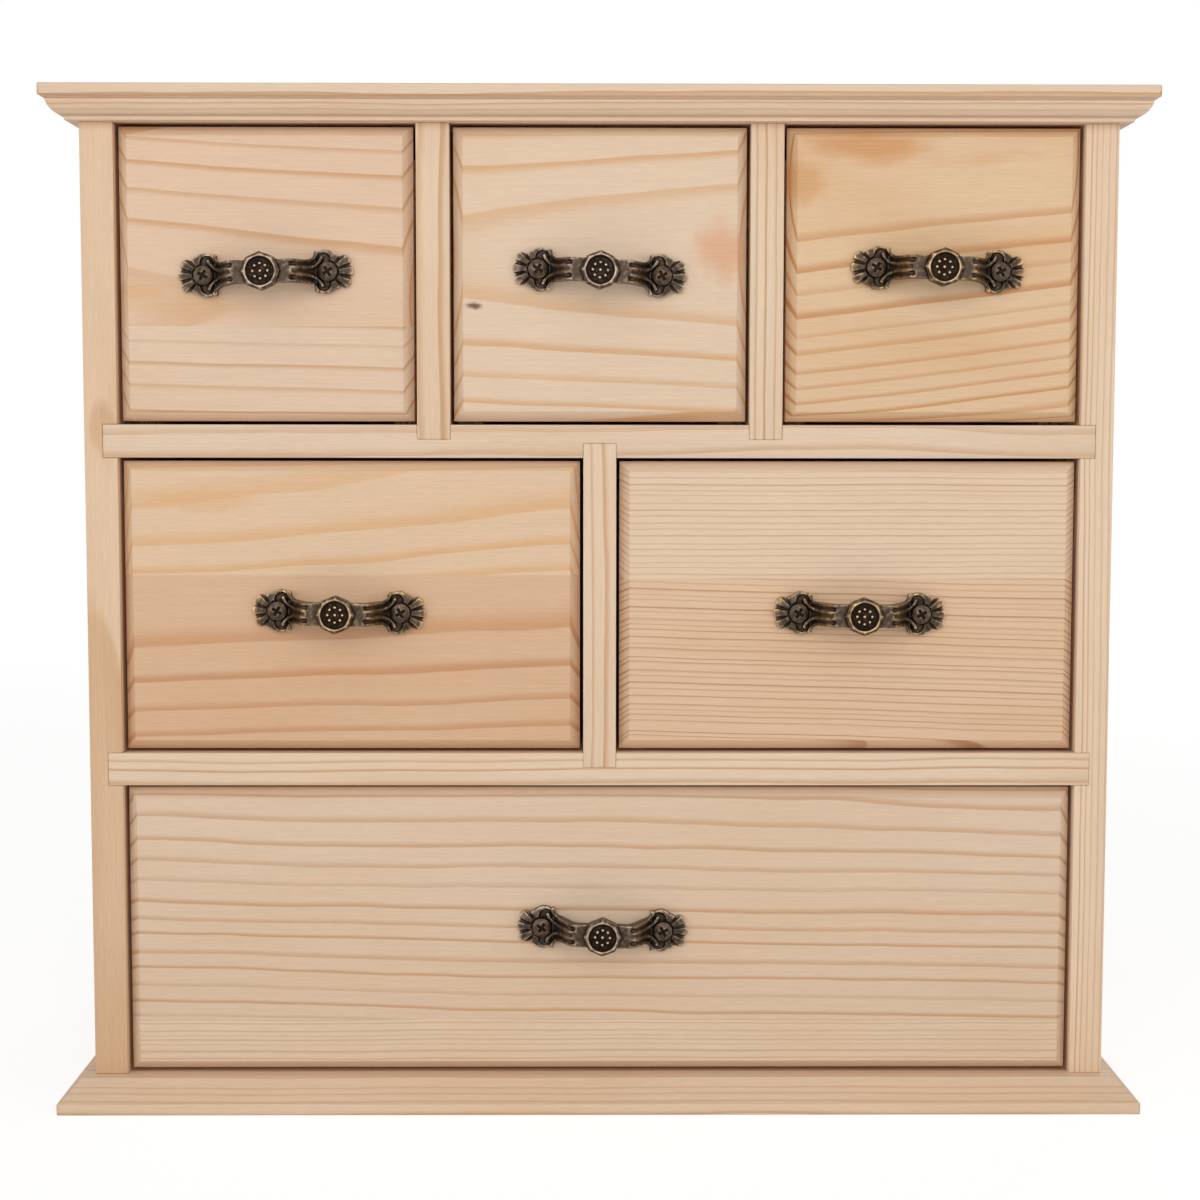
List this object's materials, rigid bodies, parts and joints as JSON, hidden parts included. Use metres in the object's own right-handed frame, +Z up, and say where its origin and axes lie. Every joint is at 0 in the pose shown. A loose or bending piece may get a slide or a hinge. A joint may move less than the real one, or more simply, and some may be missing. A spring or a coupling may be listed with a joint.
{
  "type": "desktop drawer organizer",
  "caption": "Small bare-pine chest for a desk top, with a moulded cap, a bevelled base, housed shelves and sliding bevel-fronted drawers with cast shell-end pulls.",
  "frame": {"origin": "centre of the base board's underside", "axes": "+X to the right seen from the front, +Y to the back, +Z up; the drawers open towards -Y"},
  "size_m": [0.298, 0.153, 0.279],
  "materials": {
    "pine": "bare planed pine",
    "plywood": "bare thin plywood",
    "antique_bronze": "antique bronze over a casting, rubbed back on the edges",
    "bronzed_screw": "bronzed steel",
    "steel": "bright wire"
  },
  "bodies": {
    "carcass": {"cap": "pine", "base": "pine", "left_side": "pine", "right_side": "pine", "back_panel": "plywood", "upper_shelf": "pine", "lower_shelf": "pine", "top_left_divider": "pine", "top_right_divider": "pine", "middle_divider": "pine", "cap_nails": "steel", "base_screws": "steel", "back_pins": "steel"},
    "top_left_drawer": {"top_left_drawer_front": "pine", "top_left_drawer_left_side": "pine", "top_left_drawer_right_side": "pine", "top_left_drawer_back": "pine", "top_left_drawer_bottom": "plywood", "top_left_drawer_pull": "antique_bronze", "top_left_drawer_pull_screws": "bronzed_screw"},
    "top_middle_drawer": {"top_middle_drawer_front": "pine", "top_middle_drawer_left_side": "pine", "top_middle_drawer_right_side": "pine", "top_middle_drawer_back": "pine", "top_middle_drawer_bottom": "plywood", "top_middle_drawer_pull": "antique_bronze", "top_middle_drawer_pull_screws": "bronzed_screw"},
    "top_right_drawer": {"top_right_drawer_front": "pine", "top_right_drawer_left_side": "pine", "top_right_drawer_right_side": "pine", "top_right_drawer_back": "pine", "top_right_drawer_bottom": "plywood", "top_right_drawer_pull": "antique_bronze", "top_right_drawer_pull_screws": "bronzed_screw"},
    "middle_left_drawer": {"middle_left_drawer_front": "pine", "middle_left_drawer_left_side": "pine", "middle_left_drawer_right_side": "pine", "middle_left_drawer_back": "pine", "middle_left_drawer_bottom": "plywood", "middle_left_drawer_pull": "antique_bronze", "middle_left_drawer_pull_screws": "bronzed_screw"},
    "middle_right_drawer": {"middle_right_drawer_front": "pine", "middle_right_drawer_left_side": "pine", "middle_right_drawer_right_side": "pine", "middle_right_drawer_back": "pine", "middle_right_drawer_bottom": "plywood", "middle_right_drawer_pull": "antique_bronze", "middle_right_drawer_pull_screws": "bronzed_screw"},
    "bottom_drawer": {"bottom_drawer_front": "pine", "bottom_drawer_left_side": "pine", "bottom_drawer_right_side": "pine", "bottom_drawer_back": "pine", "bottom_drawer_bottom": "plywood", "bottom_drawer_pull": "antique_bronze", "bottom_drawer_pull_screws": "bronzed_screw"}
  },
  "joints": [
    {"name": "top_left_drawer_slide", "type": "slide", "parent": "carcass", "child": "top_left_drawer", "axis": [0, -1, 0], "range_m": [0, 0.1]},
    {"name": "top_middle_drawer_slide", "type": "slide", "parent": "carcass", "child": "top_middle_drawer", "axis": [0, -1, 0], "range_m": [0, 0.1]},
    {"name": "top_right_drawer_slide", "type": "slide", "parent": "carcass", "child": "top_right_drawer", "axis": [0, -1, 0], "range_m": [0, 0.1]},
    {"name": "middle_left_drawer_slide", "type": "slide", "parent": "carcass", "child": "middle_left_drawer", "axis": [0, -1, 0], "range_m": [0, 0.1]},
    {"name": "middle_right_drawer_slide", "type": "slide", "parent": "carcass", "child": "middle_right_drawer", "axis": [0, -1, 0], "range_m": [0, 0.1]},
    {"name": "bottom_drawer_slide", "type": "slide", "parent": "carcass", "child": "bottom_drawer", "axis": [0, -1, 0], "range_m": [0, 0.1]}
  ]
}
